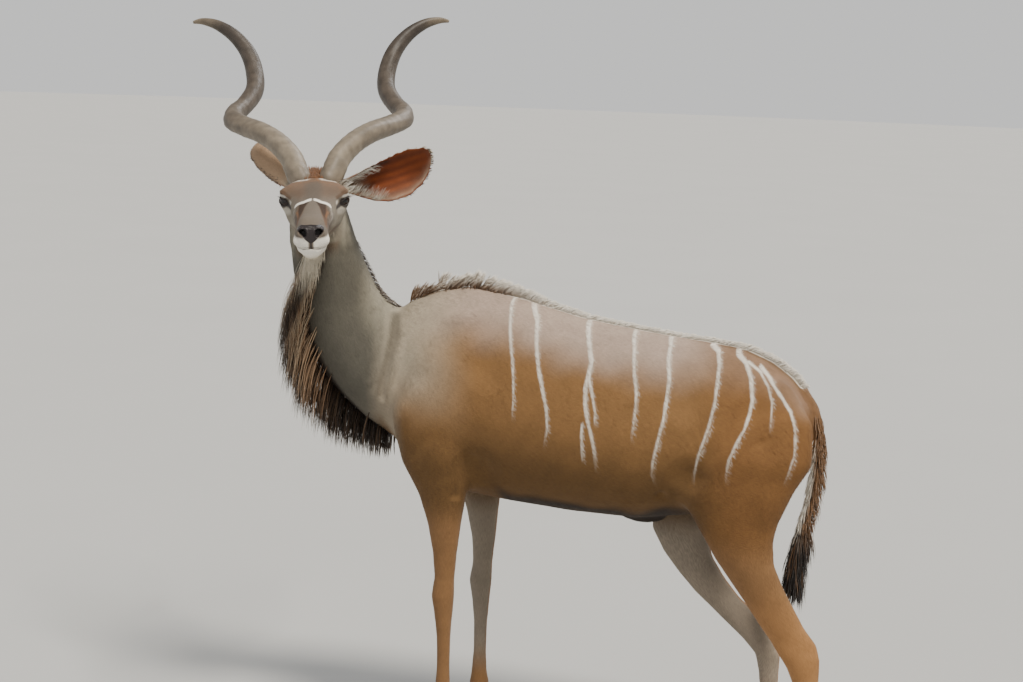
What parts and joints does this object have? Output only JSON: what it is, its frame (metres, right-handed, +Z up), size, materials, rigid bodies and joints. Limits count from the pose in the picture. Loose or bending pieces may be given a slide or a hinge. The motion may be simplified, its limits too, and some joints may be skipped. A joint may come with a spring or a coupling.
{
  "type": "greater kudu",
  "caption": "Greater kudu bull standing with its head turned towards the viewer, spiral horns, spine crest and throat fringe, as a still life-size model.",
  "frame": {"origin": "middle of the bounds in plan, on the floor under the hooves", "axes": "+Z up from the floor, the body runs along X with the chest towards -X, +Y points to the right side of the animal and the shortest extent is along Y"},
  "size_m": [2.0302, 1.0578, 2.0462],
  "materials": {
    "tawny_coat": "short dense coat, tawny brown with thin white stripes",
    "grey_coat": "short dense coat, grey brown",
    "tail_hair": "long coarse hair, brown to black",
    "horn": "smooth keratin with a low sheen",
    "ear_skin": "thin skin with fine short hair",
    "eye": "dark, wet and clear",
    "hoof": "hard dark keratin"
  },
  "bodies": {
    "root": {"trunk": "tawny_coat", "neck": "grey_coat", "head": "grey_coat", "foreleg_left": "tawny_coat", "foreleg_right": "tawny_coat", "hindleg_left": "tawny_coat", "hindleg_right": "tawny_coat", "tail": "tail_hair", "horn_left": "horn", "horn_right": "horn", "ear_left": "ear_skin", "ear_right": "ear_skin", "eye_left": "eye", "eye_right": "eye", "forehoof_left": "hoof", "forehoof_right": "hoof", "hindhoof_left": "hoof", "hindhoof_right": "hoof"}
  },
  "joints": []
}
